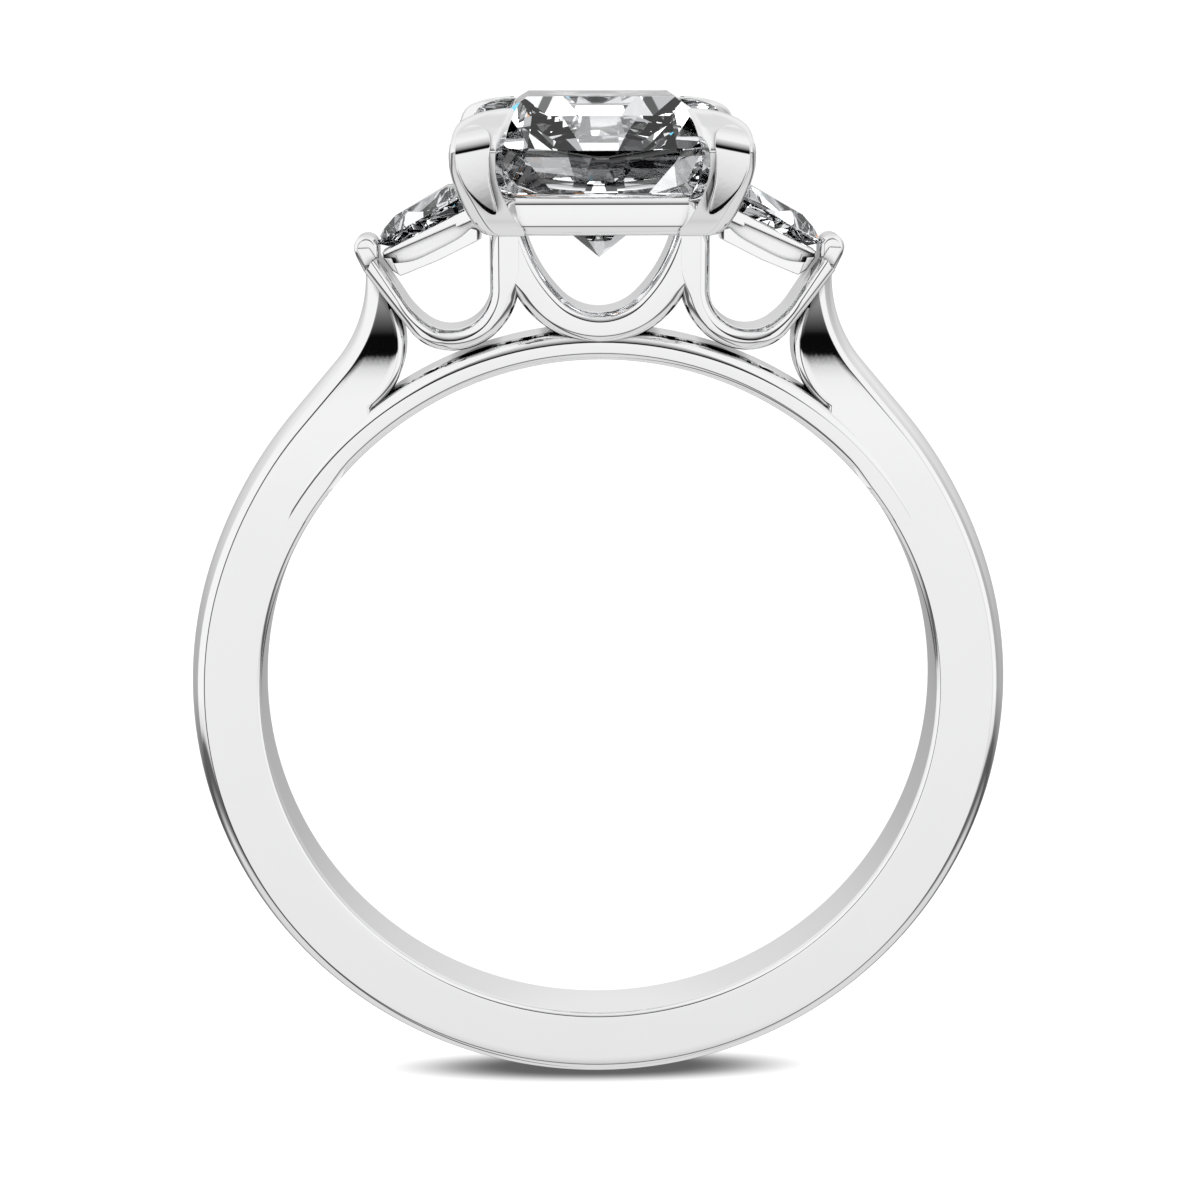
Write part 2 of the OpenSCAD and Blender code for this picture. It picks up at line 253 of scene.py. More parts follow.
def lofted(name, sections, closed=False):
    """Draws a member from section to section: a loop of edges is extruded, and each new one moved to its place."""
    clear_selection()
    bpy.ops.mesh.primitive_circle_add(vertices=len(sections[0]), radius=1.0, fill_type="NOTHING")
    obj = just_added(name)
    for v, p in zip(obj.data.vertices, sections[0]):
        v.co = p
    bpy.ops.object.mode_set(mode="EDIT")
    bpy.ops.mesh.select_mode(type="VERT")
    bpy.ops.mesh.select_all(action="SELECT")
    mesh = bmesh.from_edit_mesh(obj.data)
    order = {tuple(v.co): i for i, v in enumerate(mesh.verts)}  # a vertex's place in the loop, by where it is
    for section in sections[1:]:
        bpy.ops.mesh.extrude_region()
        mesh = bmesh.from_edit_mesh(obj.data)
        fresh = {}
        for v in mesh.verts:
            if v.select:
                i = order[tuple(v.co)]
                v.co = section[i]
                fresh[tuple(v.co)] = i
        order = fresh
    bpy.ops.mesh.select_all(action="SELECT")
    if closed:
        bpy.ops.mesh.remove_doubles(threshold=1e-4)
    else:
        bpy.ops.mesh.fill_holes(sides=0)
    face_outwards()
    return obj


def member(name, outer, inner, outer_profile, inner_profile, half, depth_at=None, closed=False, place=None):
    """A bar between an outer and an inner path, with profiles that round its edges. A profile may be a function of
    the point's number, or a pair, one for each face. half is half the bar's depth, depth_at narrows it with height,
    and place moves a point of a section to where it belongs."""
    flat_steps = 7  # steps across each face of a bar that narrows
    away_outer, away_inner = away_from(outer, inner, closed), away_from(inner, outer, closed)
    sections = []
    for k, (p, q) in enumerate(zip(outer, inner)):
        of_outer, of_inner = (e(k) if callable(e) else e for e in (outer_profile, inner_profile))
        loop = []
        for spot, away, profile, side in ((p, away_outer[k], of_outer, 1), (q, away_inner[k], of_inner, -1)):
            low, high = profile if isinstance(profile, tuple) else (profile, profile)
            marks = [(inset, -depth) for inset, depth in reversed(low)] + high[1:]
            for inset, depth in marks[::side]:
                at = spot - away * inset
                loop.append(Vector((at.x, at.y, depth * (depth_at(at.y) / half) if depth_at else depth)))
            if depth_at:
                ends = [p - away_outer[k] * of_outer[-1][0], q - away_inner[k] * of_inner[-1][0]]
                for at in line(*ends[::side], flat_steps)[1:-1]:
                    loop.append(Vector((at.x, at.y, side * depth_at(at.y))))
        sections.append([place(v) for v in loop] if place else loop)
    if closed:
        sections.append(sections[0])
    return lofted(name, sections, closed)


def plate(name, outline, back, front, edge, follow=None, segments=4):
    """A plate cut to an outline and extruded from back to front, with its edges rounded."""
    clear_selection()
    bpy.ops.mesh.primitive_circle_add(vertices=len(outline), radius=1.0, fill_type="NGON")
    obj = just_added(name)
    for v, p in zip(obj.data.vertices, outline):
        v.co = (p[0], p[1], back)
    bpy.ops.object.mode_set(mode="EDIT")
    bpy.ops.mesh.select_all(action="SELECT")
    bpy.ops.mesh.extrude_region_move(TRANSFORM_OT_translate={"value": (0, 0, front - back)})
    face_outwards()
    if follow:
        for v in obj.data.vertices:
            v.co.z += follow(v.co.x)
    rounding = obj.modifiers.new("rounded edges", "BEVEL")
    rounding.width, rounding.segments, rounding.limit_method = edge, segments, "ANGLE"
    rounding.angle_limit = math.radians(40)
    apply_modifiers(obj)
    return obj


def join_into(first, *others):
    """Joins other meshes into the first one."""
    clear_selection()
    for part in (first, *others):
        part.select_set(True)
    bpy.context.view_layer.objects.active = first
    bpy.ops.object.join()
    return first


def copied(obj, name):
    """A copy with a mesh of its own."""
    other = obj.copy()
    other.data = obj.data.copy()
    other.name = other.data.name = name
    bpy.context.collection.objects.link(other)
    return other


def mirror(obj, axis):
    """Turns a piece into its mirror image."""
    obj.data.transform(Matrix.Scale(-1, 4, axis))
    obj.data.flip_normals()
    return obj


def settle(obj, material, node, flat=False, crease=40):
    """Finishes a piece: its shading, its place on the surface, its material and what it stands for."""
    make_active(obj)
    if flat:
        bpy.ops.object.shade_flat()
    else:
        bpy.ops.object.shade_smooth_by_angle(angle=math.radians(crease))
        obj.modifiers.new("even shading", "WEIGHTED_NORMAL").keep_sharp = True
        apply_modifiers(obj)
    obj.data.transform(LAY @ Matrix.Scale(MM, 4))
    obj.data.update()
    obj.data.materials.clear()
    obj.data.materials.append(material)
    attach(obj, "root")
    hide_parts(node)
    clear_selection()


def settle_metal(*pieces, crease=40):
    for piece in pieces:
        settle(piece, polished_metal(), METAL, crease=crease)


def ring_axis(v):
    """A direction in the ring's upright frame, turned to where the ring lies."""
    return (LAY.to_3x3() @ Vector(v)).normalized()


# ---------------------------------------------------------------- nodes

def feed(tree, node, inputs):
    """Sets a node's inputs, each to a value or to the output that it reads."""
    for socket, value in inputs.items():
        if isinstance(value, bpy.types.NodeSocket):
            tree.links.new(value, node.inputs[socket])
        else:
            node.inputs[socket].default_value = value


def add_node(tree, kind, x, y, inputs=None, **settings):
    node = tree.nodes.new(kind)
    node.location = (x, y)
    for key, value in settings.items():
        setattr(node, key, value)
    feed(tree, node, inputs or {})
    return node


def calculated(tree, x, y, kind, *values):
    return add_node(tree, "ShaderNodeMath", x, y, dict(enumerate(values)), operation=kind).outputs["Value"]


def measured_along(tree, x, y, where, axis):
    """How far a place or direction reaches along one of the ring's own axes."""
    return add_node(tree, "ShaderNodeVectorMath", x, y, {0: where, 1: ring_axis(axis)},
                    operation="DOT_PRODUCT").outputs["Value"]


def mixed(tree, x, y, factor, a, b, kind="MIX"):
    """One colour blended into another, or multiplied by it."""
    return add_node(tree, "ShaderNodeMix", x, y, {"Factor": factor, "A": a, "B": b}, data_type="RGBA",
                    blend_type=kind).outputs["Result"]


def ramp(tree, x, y, value, stops, low=0.0, high=1.0, stepped=False):
    """A colour ramp over a range of values. Each stop is a value with its grey or colour."""
    if (low, high) != (0.0, 1.0):
        value = add_node(tree, "ShaderNodeMapRange", x - 180, y,
                         {"Value": value, "From Min": low, "From Max": high}).outputs["Result"]
    node = add_node(tree, "ShaderNodeValToRGB", x, y, {"Fac": value})
    elements = node.color_ramp.elements
    elements.remove(elements[1])
    for i, (at, shade) in enumerate(stops):
        share = (at - low) / (high - low)
        element = elements.new(share) if i else elements[0]
        element.position = share
        element.color = shade if isinstance(shade, tuple) else (shade, shade, shade, 1.0)
    if stepped:
        node.color_ramp.interpolation = "CONSTANT"
    return node.outputs["Color"]


# ---------------------------------------------------------------- finishes

def new_material(name):
    """A new material, with its node tree and its shader."""
    mat = bpy.data.materials.new(name)
    mat.use_nodes = True
    return mat, mat.node_tree, mat.node_tree.nodes["Principled BSDF"]


def polish_group():
    """Faint cloudiness and hairlines of a hand-polished metal, as a colour, a roughness and a height."""
    if "polish" in bpy.data.node_groups:
        return bpy.data.node_groups["polish"]
    group = bpy.data.node_groups.new("polish", "ShaderNodeTree")
    for way, sockets in (("INPUT", {"Colour": "Color", "Roughness": "Float", "Cloudiness": "Float"}),
                         ("OUTPUT", {"Colour": "Color", "Roughness": "Float", "Height": "Float"})):
        for name, kind in sockets.items():
            group.interface.new_socket(name, in_out=way, socket_type="NodeSocket" + kind)
    given = add_node(group, "NodeGroupInput", -900, 0).outputs
    where = add_node(group, "ShaderNodeTexCoord", -900, -300).outputs["Object"]
    clouds = add_node(group, "ShaderNodeTexNoise", -650, 100,
                      {"Vector": where, "Scale": 380.0, "Detail": 3.0}).outputs["Fac"]
    hairlines = add_node(group, "ShaderNodeTexNoise", -650, -300,
                         {"Vector": where, "Scale": 9000.0, "Detail": 2.0}).outputs["Fac"]
    darker = add_node(group, "ShaderNodeMapRange", -400, 100,
                      {"Value": clouds, "To Min": 0.95, "To Max": 1.0}).outputs["Result"]
    add_node(group, "NodeGroupOutput", 600, 0, {
        "Colour": mixed(group, -150, 100, given["Cloudiness"], given["Colour"], darker, "MULTIPLY"),
        "Roughness": calculated(group, -400, -150, "MULTIPLY_ADD", clouds, 0.03, given["Roughness"]),
        "Height": hairlines})
    return group


def polished_metal():
    """Polished white metal, faintly cloudy, with hairlines, and with painted shade that darkens it in corners, crevices
    and joints.
    """
    name = "polished white metal"
    if name in bpy.data.materials:
        return bpy.data.materials[name]
    mat, tree, shader = new_material(name)
    polish = add_node(tree, "ShaderNodeGroup", -500, 200, {
        "Colour": bpy.context.scene.ring_finish.metal, "Roughness": 0.015, "Cloudiness": 0.6},
        node_tree=polish_group()).outputs
    # Painted shade: ambient occlusion darkens the base colour wherever other surfaces come close, in corners, crevices
    # and joints.
    openness = add_node(tree, "ShaderNodeAmbientOcclusion", -900, 500, {"Distance": 0.3 * MM}, samples=6).outputs["AO"]
    corners = ramp(tree, -650, 500, openness, [(0.4, 0.04), (0.82, 1.0)])
    bump = add_node(tree, "ShaderNodeBump", -250, -100,
                    {"Strength": 0.008, "Distance": 0.01 * MM, "Height": polish["Height"]})
    feed(tree, shader, {"Base Color": mixed(tree, -250, 300, 1.0, polish["Colour"], corners, "MULTIPLY"),
                        "Metallic": 1.0, "Roughness": polish["Roughness"], "Normal": bump.outputs["Normal"]})
    return mat


def clear_stone(name, scale, girdle=None):
    """A clear cut stone. A few of its cells carry a faint painted tint that stands in for flashes of colour. Its girdle
    is darkened almost to black, where the heights of its two edges are given."""
    if name in bpy.data.materials:
        return bpy.data.materials[name]
    mat, tree, shader = new_material(name)
    where = add_node(tree, "ShaderNodeTexCoord", -1300, 200).outputs["Object"]
    # Painted light: a few cells get a faint tint that stands in for flashes of colour.
    cells = add_node(tree, "ShaderNodeTexVoronoi", -1100, 200, {"Vector": where, "Scale": scale}).outputs["Color"]
    pick = add_node(tree, "ShaderNodeSeparateColor", -900, 200, {"Color": cells}).outputs["Red"]
    colour = ramp(tree, -700, 200, pick, [(0.0, (0.98, 0.99, 1.0, 1.0)), (0.93, (0.96, 0.99, 1.0, 1.0))],
                  stepped=True)
    if girdle:
        # The girdle's colour is darkened almost to black between its two heights.
        soft, darkened = 0.004 * MM, 0.02
        low, high = (ring_axis(UP).dot(LAY.to_translation()) + height * MM for height in girdle)
        band = ramp(tree, -700, -100, measured_along(tree, -1100, -100, where, UP),
                    [(low - MM, 1), (low, 1), (low + soft, darkened), (high - soft, darkened), (high, 1), (high + MM, 1)],
                    low - MM, high + MM)
        colour = mixed(tree, -350, 100, 1.0, colour, band, "MULTIPLY")
    feed(tree, shader, {"Base Color": colour, "Roughness": 0.0, "IOR": 2.42, "Transmission Weight": 1.0,
                        "Specular Tint": (0.35, 0.35, 0.35, 1.0)})
    return mat


# ---------------------------------------------------------------- the band and the gallery

def shoulder_half(half, y):
    """Half the width of a shoulder at a height: it narrows slowly from the band up, and faster near its lip."""
    slow_start, slow_radius, fast_start, fast_radius = 3.68, 66, 8.78, 12.6
    return (half - max(0.0, y - slow_start) ** 2 / (2 * slow_radius)
            - max(0.0, y - fast_start) ** 2 / (2 * fast_radius))


class RING_OT_band(bpy.types.Operator):
    """Models the band and its two shoulders as one piece"""
    bl_idname = "ring.band"
    bl_label = "Band and shoulders"

    def execute(self, context):
        s = sizes("ring_band")
        r_out, r_in, half = s["outside_radius"], s["hole_radius"], s["half_width"]
        bottom, sweep_start, leave_hole, rise_slope = -90, 18.5, 41, 49.5  # degrees from the level
        sweep_r, rise_length, lip_r, lip_end, window_edge = 12.0, 1.66, 3.32, 178, 0.22
        round_steps, sweep_steps, rise_steps, lip_steps = 56, 14, 9, 22

        # The outside: round the band, in on a wide sweep, up a straight rise and out to the upright lip
        sweep_centre = polar(r_out, sweep_start) - polar(sweep_r, sweep_start)
        foot = polar(sweep_r, 90 - rise_slope, sweep_centre)
        slope = math.radians(rise_slope)
        top = foot + Vector((-math.cos(slope), math.sin(slope))) * rise_length
        outer = joined(arc(HOLE_CENTRE, r_out, bottom, sweep_start, round_steps),
                       arc(sweep_centre, sweep_r, sweep_start, 90 - rise_slope, sweep_steps),
                       line(foot, top, rise_steps),
                       arc(top + polar(lip_r, 90 - rise_slope), lip_r, 270 - rise_slope, lip_end, lip_steps))
        # The inside: round the finger hole, then up round the window between shoulder and side arch
        window = arc((6.86, 9.05), 2.02, 234, 152, lip_steps)
        inner = joined(arc(HOLE_CENTRE, r_in, bottom, sweep_start, round_steps),
                       arc(HOLE_CENTRE, r_in, sweep_start, leave_hole, sweep_steps),
                       line(polar(r_in, leave_hole), window[0], rise_steps),
                       window)
        first_free = round_steps + sweep_steps

        def inner_profile(k):
            """The hole's rounded edge, none where the bridge takes over, and a small one round the window."""
            if k < first_free - 1:
                return round_profile(half, s["hole_edge_radius"])
            return round_profile(half, SQUARE if k < first_free + rise_steps else window_edge)

        obj = member("band_and_shoulders", outer, inner, dome_profile(half, s["dome_radius"], s["edge_radius"]),
                     inner_profile, half, depth_at=lambda y: shoulder_half(half, y))
        # The two halves meet at the bottom: the cut there is put on the middle plane and its cap taken off
        make_active(obj)
        bpy.ops.object.mode_set(mode="EDIT")
        bpy.ops.mesh.select_all(action="DESELECT")
        mesh = bmesh.from_edit_mesh(obj.data)
        for v in mesh.verts:
            if v.co.y < 0 and abs(v.co.x) < 0.05:
                v.co.x = 0.0
        for face in mesh.faces:
            face.select = all(v.co.x == 0.0 for v in face.verts)
        bpy.ops.mesh.delete(type="ONLY_FACE")
        bpy.ops.object.mode_set(mode="OBJECT")
        obj.modifiers.new("other half", "MIRROR").merge_threshold = 1e-3
        apply_modifiers(obj)
        settle_metal(obj)
        return {"FINISHED"}


class RING_OT_bridge(bpy.types.Operator):
    """Models the bridge that closes the finger hole below the head"""
    bl_idname = "ring.bridge"
    bl_label = "Bridge"

    def execute(self, context):
        s = sizes("ring_band")
        half, rim_radius = s["half_width"] - LAP, 9.44
        start, end, steps = 14, 166, 80
        turns = [start + (end - start) * k / steps for k in range(steps + 1)]

        def lift(turn):
            """How far the bridge stands back from the hole's circle, most in the middle of its span."""
            return 0.03 * max(0.0, 1 - ((turn - 90) / 42) ** 2) ** 2

        def lower(k):
            """The band's own edge, widening to the bridge's where the shoulders leave the hole."""
            leave_hole, blend = 52, 6  # degrees from the top
            return round_profile(half, s["hole_edge_radius"] + 0.08 * eased((leave_hole - abs(turns[k] - 90)) / blend))

        inner = [polar(s["hole_radius"] + LAP + lift(turn), turn) for turn in turns]
        settle_metal(member("bridge", arc(HOLE_CENTRE, rim_radius, start, end, steps), inner,
                            round_profile(half, 0.33, 8), lower, half))
        return {"FINISHED"}


class RING_OT_arches(bpy.types.Operator):
    """Models the middle arch and the two side arches of the gallery"""
    bl_idname = "ring.arches"
    bl_label = "Arches"

    def execute(self, context):
        s = sizes("ring_gallery")
        half, edge = s["half_width"], s["edge_radius"]
        count, top = 97, 12.3  # points along each path, and the height at which the posts end inside the head

        def both_sides(right):
            return [Vector((-p.x, p.y)) for p in reversed(right[1:])] + right

        def merging(path):
            """Round where an arch stands free, and square where it runs together with the next one."""
            free_below, blend = 11.05, 0.9  # heights
            return lambda k: round_profile(
                half, SQUARE + (1.3 * edge - SQUARE) * eased((free_below - path[k].y) / blend), 8)

        outside = joined(arc((0, 11.47), 2.38, -90, -8, 28), line(polar(2.38, -8, (0, 11.47)), (2.37, top), 6))
        inside = joined(arc((0, 11.18), 1.3, -90, -45, 16), arc((-1.556, 12.736), 3.5, -45, -15, 14),
                        line((1.825, 11.83), (1.95, top), 3))
        outside, inside = evenly(both_sides(outside), count), evenly(both_sides(inside), count)
        settle_metal(member("middle_arch", outside, inside, merging(outside), round_profile(half, 1.28 * edge, 9),
                            half))

        half += LAP
        outside = evenly(joined(line((2.0, top), (2.0, 10.62), 8), arc((3.70, 10.62), 1.70, 180, 270, 24),
                                arc((3.70, 10.17), 1.25, -90, -38, 12), line((4.685, 9.4), (5.82, 10.906), 10)), count)
        inside = evenly(joined(line((2.72, top), (2.72, 10.45), 8), arc((3.72, 10.45), 1.0, 180, 305, 30),
                               arc((3.146, 11.269), 2.0, -55, -33, 8), line((4.824, 10.18), (5.5, 11.221), 8)), count)
        post = merging(outside)
        post_end, hollow_end, thin_start = 40, 58, 60  # points of the path

        def outer_edge(k):
            """Merging down the post, round along the bottom and thinner towards the outer claw."""
            if k < post_end:
                return post(k)
            thin = 0.15 + 0.1 * max(0.0, 1 - (k - thin_start) / 8)
            return round_profile(half, 1.25 * edge if k < thin_start else thin, 8)

        def inner_edge(k):
            """Rounder along the bottom and thinner towards the outer claw."""
            return round_profile(half, 0.27 - 0.1 * clipped((k - hollow_end) / 20), 9)

        right = member("right_arch", outside, inside, outer_edge, inner_edge, half)
        settle_metal(right, mirror(copied(right, "left_arch"), ACROSS))
        return {"FINISHED"}


# ---------------------------------------------------------------- the head

def rounded_square(half_x, half_z, corner, steps):
    """The path round a square with rounded corners."""
    out = []
    for i, (sx, sz) in enumerate(((1, 1), (-1, 1), (-1, -1), (1, -1))):
        centre = (sx * (half_x - corner), sz * (half_z - corner))
        out += arc(centre, corner, 90 * i, 90 * i + 90, steps)
    return out


class RING_OT_head_frame(bpy.types.Operator):
    """Models the square frame that carries the centre stone"""
    bl_idname = "ring.head_frame"
    bl_label = "Head frame"

    def execute(self, context):
        s = sizes("ring_head")
        low, high, inner_half = 11.95, 12.93, 2.15
        half, mid = (high - low) / 2, (high + low) / 2
        outer = rounded_square(s["frame_half"], s["frame_half"] * s["deepen"], 0.7, 8)
        inner = rounded_square(inner_half, inner_half * s["deepen"], 0.45, 8)
        lower, upper = round_profile(half, 0.31, 9), round_profile(half, 0.24, 9)
        settle_metal(member("head_frame", outer, inner, (lower, upper), round_profile(half, 0.12, 9), half,
                            closed=True, place=lambda v: Vector((v.x, mid + v.z, v.y))))
        return {"FINISHED"}


# Body of a wide claw, from its foot to its tip: height, far side across the ring, far side towards the viewer,
# radius of its outer corner, inner edge of its front, near side
CLAW_ROWS = [
    (11.942, 2.55, 2.74, 0.22, 1.97, 1.86), (11.955, 2.66, 2.82, 0.27, 1.89, 1.80),
    (11.99, 2.80, 2.885, 0.31, 1.85, 1.75), (12.10, 2.945, 2.945, 0.34, 1.86, 1.73),
    (12.23, 3.06, 2.99, 0.36, 1.97, 1.83), (12.38, 3.16, 3.036, 0.365, 2.08, 1.90),
    (12.53, 3.245, 3.084, 0.36, 2.165, 1.95), (12.67, 3.31, 3.130, 0.35, 2.24, 2.00),
    (12.81, 3.368, 3.177, 0.33, 2.305, 2.05), (13.00, 3.438, 3.240, 0.29, 2.39, 2.165),
    (13.20, 3.50, 3.307, 0.245, 2.456, 2.29), (13.43, 3.557, 3.384, 0.20, 2.502, 2.345),
    (13.60, 3.582, 3.441, 0.175, 2.513, 2.365), (13.78, 3.59, 3.501, 0.165, 2.515, 2.369),
    (13.92, 3.59, 3.548, 0.165, 2.508, 2.357), (13.99, 3.587, 3.570, 0.165, 2.503, 2.345),
    (14.06, 3.58, 3.562, 0.17, 2.498, 2.33), (14.12, 3.568, 3.541, 0.175, 2.49, 2.31),
    (14.20, 3.55, 3.505, 0.19, 2.475, 2.285), (14.28, 3.528, 3.452, 0.21, 2.455, 2.262),
    (14.38, 3.50, 3.368, 0.24, 2.43, 2.24), (14.50, 3.45, 3.238, 0.28, 2.39, 2.205),
    (14.57, 3.40, 3.142, 0.30, 2.36, 2.18), (14.63, 3.34, 3.045, 0.31, 2.335, 2.155),
    (14.70, 3.23, 2.925, 0.31, 2.30, 2.12), (14.77, 3.07, 2.80, 0.30, 2.26, 2.09),
    (14.82, 2.92, 2.69, 0.27, 2.23, 2.075), (14.86, 2.76, 2.57, 0.20, 2.20, 2.07),
    (14.89, 2.58, 2.44, 0.14, 2.19, 2.08), (14.91, 2.44, 2.34, 0.08, 2.18, 2.10), (14.92, 2.34, 2.27, 0.04, 2.18, 2.13),
]
FAR_X, FAR_Z = 1, 2  # columns of that table
# Outline of the flat shield on a claw's front, as seen from the front
SHIELD = [(3.453, 14.12), (3.453, 14.16), (3.417, 14.275), (3.357, 14.39), (3.239, 14.505), (3.122, 14.569),
          (3.005, 14.596), (2.90, 14.587), (2.796, 14.539), (2.703, 14.481), (2.657, 14.412), (2.628, 14.297),
          (2.617, 14.182), (2.63, 14.06), (2.65, 13.93), (2.654, 13.796), (2.649, 13.611), (2.641, 13.449),
          (2.62, 13.264), (2.586, 13.101), (2.541, 12.927), (2.503, 12.776), (2.474, 12.62), (2.492, 12.55),
          (2.56, 12.53), (2.673, 12.571), (2.813, 12.672), (2.964, 12.812), (3.126, 12.998), (3.264, 13.195),
          (3.366, 13.427), (3.423, 13.589), (3.444, 13.751), (3.453, 13.912)]


def through(rows, gap):
    """Rows of numbers with smooth rows between them, no further than gap apart."""
    out = []
    for i in range(len(rows) - 1):
        b, c = rows[i], rows[i + 1]
        a = rows[i - 1] if i else b
        d = rows[i + 2] if i + 2 < len(rows) else c
        steps = max(1, round((Vector(c[:3]) - Vector(b[:3])).length / gap))
        span = c[0] - b[0]
        for k in range(steps):
            t = k / steps
            row = [b[0] + span * t]
            for p, q, r, w in zip(a[1:], b[1:], c[1:], d[1:]):
                leaving = (r - p) / max(c[0] - a[0], 1e-9) * span
                arriving = (w - q) / max(d[0] - b[0], 1e-9) * span
                row.append((2 * t ** 3 - 3 * t * t + 1) * q + (t ** 3 - 2 * t * t + t) * leaving
                           + (3 * t * t - 2 * t ** 3) * r + (t ** 3 - t * t) * arriving)
            out.append(tuple(row))
    return out + [rows[-1]]


def read_off(rows, height, column):
    """A value read off a table of rows, between two of them."""
    for low, high in zip(rows, rows[1:]):
        if height <= high[0]:
            t = max(0.0, (height - low[0]) / (high[0] - low[0]))
            return low[column] + (high[column] - low[column]) * t
    return rows[-1][column]


def claw_section(row, deepen):
    """One loop round a claw: two flat fronts with a rounded corner between them, and bevelled inner sides."""
    y, far_x, far_z, corner, edge, near = row
    # The diagonal cut at the inner side keeps clear of the stone's cut corner, which leans away from its girdle
    girdle_low, girdle_high, clear, lean_below, lean_above = 13.86, 13.98, 5.31, 1.105, 1.13
    clear += lean_below * min(0.0, y - girdle_low) - lean_above * max(0.0, y - girdle_high)
    cut = min(max(2 * near + 0.12, clear), near + min(far_x, far_z) - 0.08)
    soft = 0.012 + 0.15 * clipped((y - 14.0) / 0.3)  # the bends get softer towards the tip
    least_flat, widest_bevel, bend_steps = 0.03, 0.30, 9

    def half(height, reach):
        """From the diagonal cut to the start of the outer corner, as (across, depth)."""
        brim = min(edge, reach - corner - least_flat)
        bevel = min(widest_bevel, (height - (cut - near)) * 0.85)
        a, b, c = Vector((near, height - bevel)), Vector((brim, height)), Vector((reach - corner, height))
        turn = min(soft, (b - a).length * 0.6, (c - b).length * 0.6)
        p, q = b + (a - b).normalized() * turn, b + (c - b).normalized() * turn
        bend = [p * (1 - t) ** 2 + b * 2 * t * (1 - t) + q * t * t
                for t in (k / bend_steps for k in range(1, bend_steps))]
        return line((near, cut - near), a, 4)[:-1] + line(a, p, 5) + bend + line(q, c, 12)

    outer_corner = arc((far_x - corner, far_z - corner), corner, 90, 0, 14)[1:-1]
    loop = half(far_z, far_x) + outer_corner + [Vector((q.y, q.x)) for q in reversed(half(far_x, far_z))]
    return [Vector((p.x, y, p.y * deepen)) for p in loop]


def across_at(outline, y):
    """Where a level line enters and leaves an outline."""
    xs = sorted(a.x + (b.x - a.x) * (y - a.y) / (b.y - a.y)
                for a, b in zip(outline, outline[1:] + outline[:1]) if (a.y > y) != (b.y > y))
    return xs[0], xs[-1]


def distance_to(x, y, outline):
    nearest = math.inf
    for a, b in zip(outline, outline[1:] + outline[:1]):
        span, here = b - a, Vector((x, y)) - a
        t = clipped(here.dot(span) / max(span.length_squared, 1e-12))
        nearest = min(nearest, (here - span * t).length)
    return nearest


def shield_face(x, y):
    """How far forward a shield's face stands: all but upright up to a slanting bend, and rounded back above it."""
    forward, lean, tip_radius, gentle_end = 3.60, 0.024, 0.59, 0.07
    bend_x, bend_y, bend_slant = 2.6, 14.08, 0.2
    start_sine, start_cosine = 0.088, 0.996  # of the face's angle where the rounding starts
    above = y - (bend_y - bend_slant * (x - bend_x))
    if above <= 0:
        return forward - lean * above + 0.0085 * above * above
    gentle = min(above, gentle_end)
    out = forward - lean * gentle - gentle * gentle / 2.2
    if above > gentle_end:
        turned = min(start_sine + (above - gentle) / tip_radius, 0.99)
        out -= tip_radius * (start_cosine - math.sqrt(1 - turned * turned))
    return out


def shield(name, outline, face, back, deepen):
    """A shield: a plate with a narrow raised rim along its lower edges, set into the claw. face gives how far
    forward a place of its front stands, and back how far forward its rear does at a height."""
    low, high = min(p.y for p in outline), max(p.y for p in outline)
    levels, places = 150, 30
    rim_top, rim_widens, fade = 13.9, 13.1, 0.5  # heights
    rim_narrow, rim_wide, rim_rise = 0.06, 0.12, 0.03  # its widths, and its height as a share of them
    sections = []
    for i in range(1, levels):
        y = low + (high - low) * denser(i / levels, 0.7)
        left, right = across_at(outline, y)
        soft = min(0.016, (right - left) * 0.2)
        rim = rim_narrow + (rim_wide - rim_narrow) * clipped((rim_widens - y) / fade)
        front = []
        for k in range(places + 1):
            x = left + soft + (right - left - 2 * soft) * denser(k / places, 0.6)
            z = face(x, y)
            if y < rim_top and min(x - left, right - x, y - low) < 0.2:
                raised = rim_rise * rim * clipped((rim_top - y) / fade)
                z += raised * max(0.0, 1 - distance_to(x, y, outline) / rim) ** 2
            front.append((x, z))
        turn = [(soft * (1 - math.cos(a)), soft * math.sin(a) - soft) for a in (0.0, 0.52, 1.05)]
        loop = ([(left, back(y))] + [(left + e, front[0][1] + d) for e, d in turn] + front
                + [(right - e, front[-1][1] + d) for e, d in reversed(turn)] + [(right, back(y))])
        sections.append([Vector((x, y, z * deepen)) for x, z in loop])
    return lofted(name, sections)


